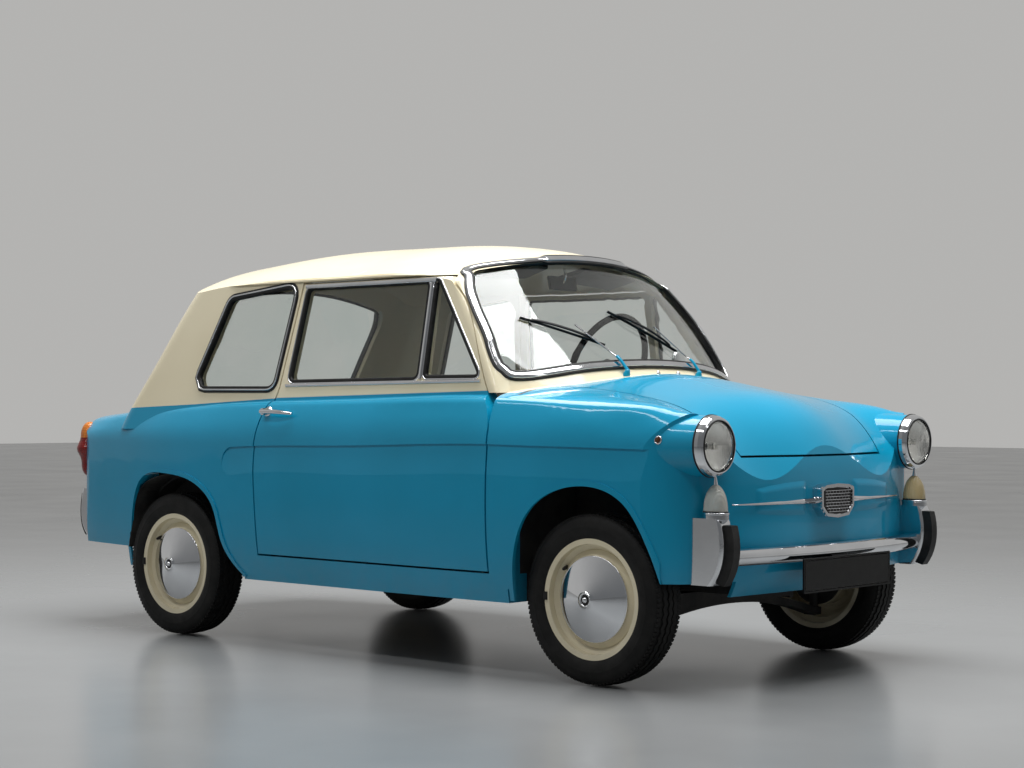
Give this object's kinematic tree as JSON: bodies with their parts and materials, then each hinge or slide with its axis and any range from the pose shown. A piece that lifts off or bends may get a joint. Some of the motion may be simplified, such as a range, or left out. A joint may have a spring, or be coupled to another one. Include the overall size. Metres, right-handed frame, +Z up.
{
  "type": "two-door microcar saloon",
  "caption": "Small two-tone two-door notchback saloon with opening doors, bonnet and engine lid, steered front wheels and a tail-mounted engine.",
  "frame": {"origin": "on the ground under the middle of the whole car", "axes": "+X forward, +Y to the car's left, +Z up"},
  "size_m": [2.992, 1.3564, 1.316],
  "materials": {
    "blue_paint": "gloss",
    "cream_paint": "gloss",
    "chrome": "polished",
    "glass": "clear",
    "lamp_glass": "ribbed",
    "amber_lens": "lens",
    "tyre": "matte",
    "rubber": "matte",
    "plate_black": "gloss",
    "trim": "grained",
    "dark_metal": "satin",
    "dash_paint": "satin",
    "wheel_plastic": "gloss"
  },
  "bodies": {
    "body": {"floor_pan": "dark_metal", "nose_panel": "blue_paint", "fender_right": "blue_paint", "fender_left": "blue_paint", "greenhouse": "cream_paint", "quarter_right": "blue_paint", "quarter_left": "blue_paint", "tail_panel": "blue_paint", "fixed_glass": "glass", "front_bumper": "chrome", "rear_bumper": "chrome", "bumper_buffers": "rubber", "headlamp_shells": "chrome", "headlamp_lenses": "lamp_glass", "front_turn_lamps": "lamp_glass", "tail_lamps": "amber_lens", "nose_badge": "chrome", "number_plate": "plate_black", "wipers": "rubber", "dashboard": "dash_paint", "seats": "trim", "powertrain": "dark_metal", "front_suspension": "dark_metal", "rear_suspension": "dark_metal"},
    "door_right": {"door_right": "blue_paint", "door_glass_right": "glass", "door_handle_right": "chrome"},
    "door_left": {"door_left": "blue_paint", "door_glass_left": "glass", "door_handle_left": "chrome"},
    "bonnet": {"bonnet": "blue_paint"},
    "engine_lid": {"engine_lid": "blue_paint"},
    "steering_wheel": {"steering_wheel": "wheel_plastic"},
    "knuckle_right": {"knuckle_right": "dark_metal"},
    "wheel_front_right": {"tyre_front_right": "tyre", "rim_front_right": "cream_paint", "hubcap_front_right": "chrome"},
    "wheel_rear_right": {"tyre_rear_right": "tyre", "rim_rear_right": "cream_paint", "hubcap_rear_right": "chrome"},
    "knuckle_left": {"knuckle_left": "dark_metal"},
    "wheel_front_left": {"tyre_front_left": "tyre", "rim_front_left": "cream_paint", "hubcap_front_left": "chrome"},
    "wheel_rear_left": {"tyre_rear_left": "tyre", "rim_rear_left": "cream_paint", "hubcap_rear_left": "chrome"}
  },
  "joints": [
    {"name": "door_right_hinge", "type": "hinge", "parent": "body", "child": "door_right", "pos_m": [0.697, -0.674, 0.5], "axis": [0, 0, 1], "range_deg": [0, 68]},
    {"name": "door_left_hinge", "type": "hinge", "parent": "body", "child": "door_left", "pos_m": [0.697, 0.674, 0.5], "axis": [0, 0, -1], "range_deg": [0, 68]},
    {"name": "bonnet_hinge", "type": "hinge", "parent": "body", "child": "bonnet", "pos_m": [0.842, 0, 0.892], "axis": [0, -1, 0], "range_deg": [0, 50]},
    {"name": "engine_lid_hinge", "type": "hinge", "parent": "body", "child": "engine_lid", "pos_m": [-1.211, 0, 0.785], "axis": [0, 1, 0], "range_deg": [0, 60]},
    {"name": "steer_left", "type": "hinge", "parent": "body", "child": "knuckle_left", "pos_m": [1.045, 0.505, 0.243], "axis": [0, 0, 1], "range_deg": [-30, 30]},
    {"name": "steer_right", "type": "hinge", "parent": "body", "child": "knuckle_right", "pos_m": [1.045, -0.505, 0.243], "axis": [0, 0, 1], "range_deg": [-30, 30]},
    {"name": "steering_column", "type": "hinge", "parent": "body", "child": "steering_wheel", "pos_m": [0.355, 0.3, 0.905], "axis": [-0.9398, 0, 0.3417], "range_deg": [-390, 390]},
    {"name": "spin_front_right", "type": "hinge", "parent": "knuckle_right", "child": "wheel_front_right", "pos_m": [1.045, -0.56, 0.243], "axis": [0, 1, 0], "continuous": true},
    {"name": "spin_front_left", "type": "hinge", "parent": "knuckle_left", "child": "wheel_front_left", "pos_m": [1.045, 0.56, 0.243], "axis": [0, 1, 0], "continuous": true},
    {"name": "spin_rear_right", "type": "hinge", "parent": "body", "child": "wheel_rear_right", "pos_m": [-0.795, -0.567, 0.243], "axis": [0, 1, 0], "continuous": true},
    {"name": "spin_rear_left", "type": "hinge", "parent": "body", "child": "wheel_rear_left", "pos_m": [-0.795, 0.567, 0.243], "axis": [0, 1, 0], "continuous": true}
  ],
  "couplings": [
    {"joint": "steer_right", "follows": "steer_left", "ratio": 1},
    {"joint": "steering_column", "follows": "steer_left", "ratio": 13}
  ]
}
